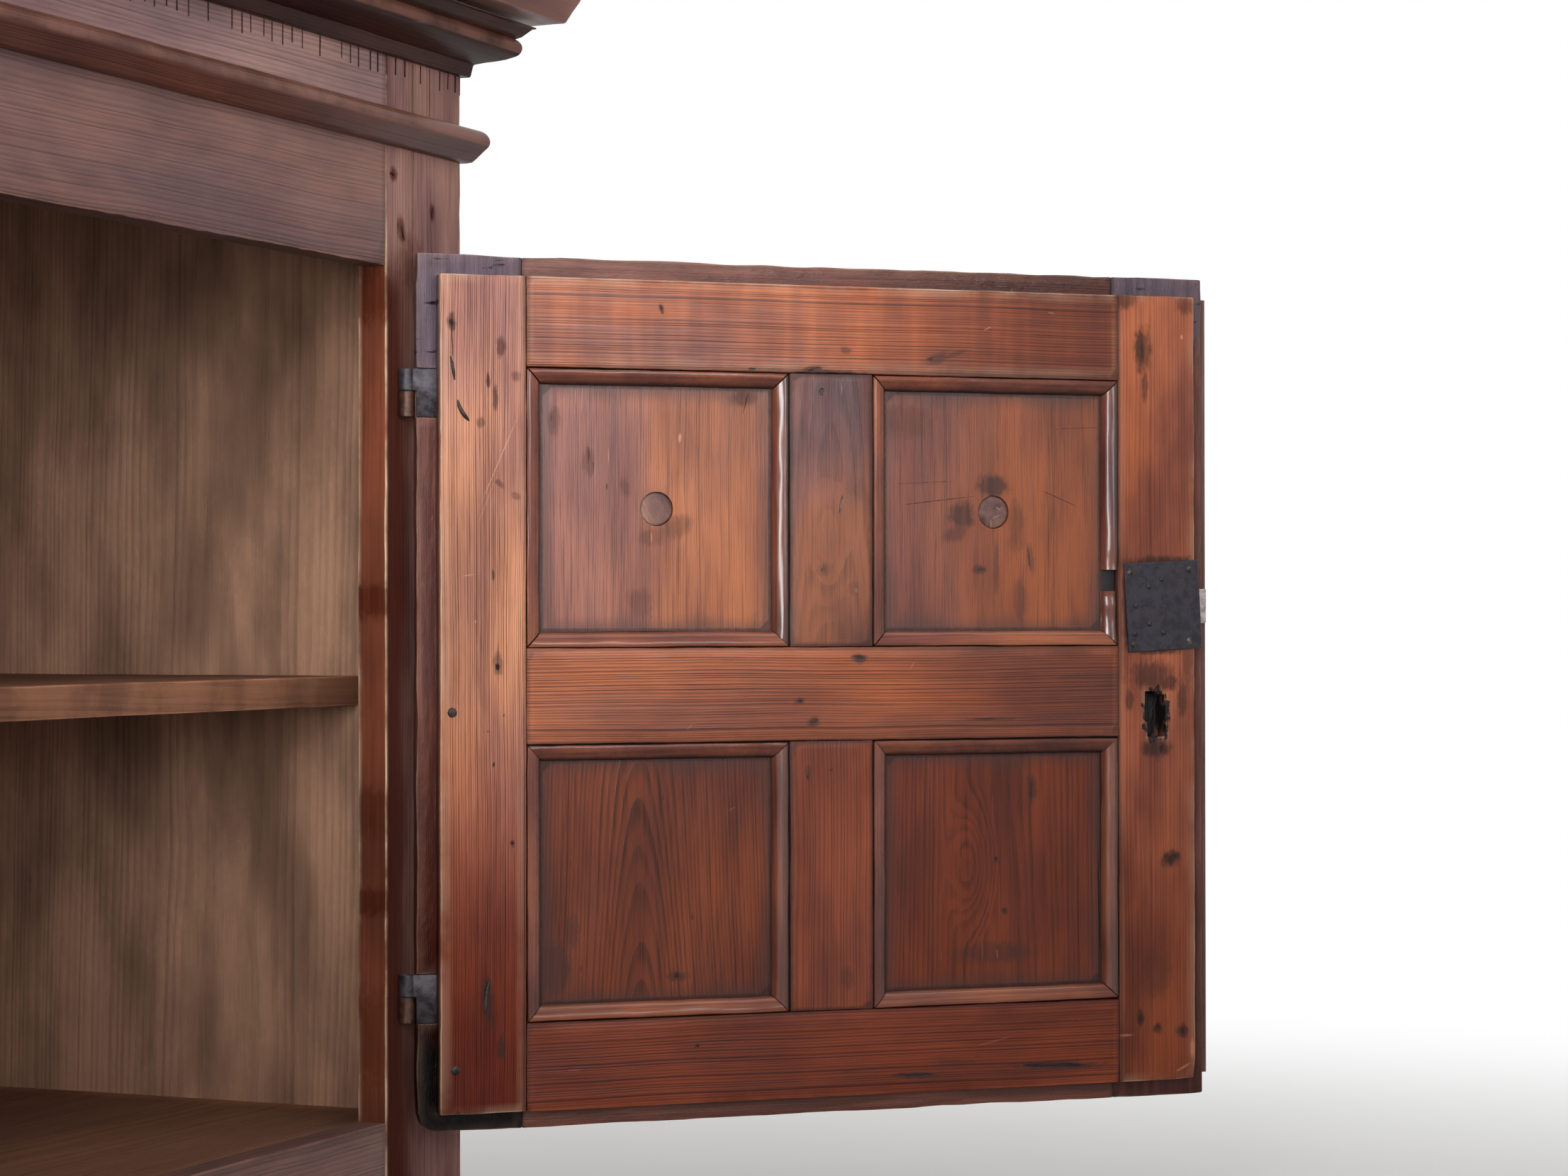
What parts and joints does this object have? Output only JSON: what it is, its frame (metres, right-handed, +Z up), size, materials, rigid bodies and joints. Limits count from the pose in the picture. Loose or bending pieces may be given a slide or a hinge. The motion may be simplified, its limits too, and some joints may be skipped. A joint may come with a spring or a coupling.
{
  "type": "credenza",
  "caption": "Low credenza in dark stained softwood with framed and panelled doors on iron pin hinges, a moulded cornice, a plinth, an inner shelf and a sliding lock bolt.",
  "frame": {"origin": "on the floor, at the middle of the width, in the plane of the case's front face, under the plinth's front board", "axes": "+X to the right along the front, +Y to the back, +Z up"},
  "size_m": [2.1222, 1.0677, 1.149],
  "materials": {
    "case_wood": "dark stained softwood, dull wax",
    "inner_wood": "plain softwood, darkened with age",
    "door_wood": "red-brown stained softwood, satin wax",
    "iron": "blackened wrought iron",
    "steel": "worn bright steel"
  },
  "bodies": {
    "case": {"astragal_front": "case_wood", "astragal_left": "case_wood", "astragal_right": "case_wood", "back_boards": "inner_wood", "bottom_rail": "case_wood", "cornice_front": "case_wood", "cornice_left": "case_wood", "cornice_right": "case_wood", "floor_board": "inner_wood", "frieze_rail": "case_wood", "front_stile_left": "case_wood", "front_stile_right": "case_wood", "pintle_left_lower": "iron", "pintle_left_upper": "iron", "pintle_right_lower": "iron", "pintle_right_upper": "iron", "plinth_front": "case_wood", "plinth_left": "case_wood", "plinth_right": "case_wood", "shelf": "inner_wood", "side_left": "inner_wood", "side_right": "inner_wood", "top_slab": "case_wood"},
    "right_door": {"right_bottom_rail": "door_wood", "right_cover_strip": "door_wood", "right_hinge_knob": "door_wood", "right_hinge_stile": "door_wood", "right_lock_knob": "door_wood", "right_lock_plate": "iron", "right_lock_stile": "door_wood", "right_lower_hinge_loop": "iron", "right_lower_hinge_moulding": "door_wood", "right_lower_hinge_panel": "door_wood", "right_lower_lock_moulding": "door_wood", "right_lower_lock_panel": "door_wood", "right_lower_muntin": "door_wood", "right_middle_rail": "door_wood", "right_top_rail": "door_wood", "right_upper_hinge_loop": "iron", "right_upper_hinge_moulding": "door_wood", "right_upper_hinge_panel": "door_wood", "right_upper_lock_moulding": "door_wood", "right_upper_lock_panel": "door_wood", "right_upper_muntin": "door_wood"},
    "left_door": {"left_bottom_rail": "door_wood", "left_hinge_knob": "door_wood", "left_hinge_stile": "door_wood", "left_lock_knob": "door_wood", "left_lock_stile": "door_wood", "left_lower_hinge_loop": "iron", "left_lower_hinge_panel": "door_wood", "left_lower_lock_panel": "door_wood", "left_lower_muntin": "door_wood", "left_middle_rail": "door_wood", "left_top_rail": "door_wood", "left_upper_hinge_loop": "iron", "left_upper_hinge_panel": "door_wood", "left_upper_lock_panel": "door_wood", "left_upper_muntin": "door_wood"},
    "lock_bolt": {"right_lock_bolt": "steel"}
  },
  "joints": [
    {"name": "right_door_hinge", "type": "hinge", "parent": "case", "child": "right_door", "pos_m": [0.7188, -0.0066, 0.1805], "axis": [0, 0, 1], "range_deg": [-132.45, 37.55]},
    {"name": "left_door_hinge", "type": "hinge", "parent": "case", "child": "left_door", "pos_m": [-0.7188, -0.0066, 0.1805], "axis": [0, 0, -1], "range_deg": [0, 170]},
    {"name": "lock_bolt_slide", "type": "slide", "parent": "right_door", "child": "lock_bolt", "axis": [0.6749, -0.7379, 0], "range_m": [-0.0125, 0]}
  ]
}
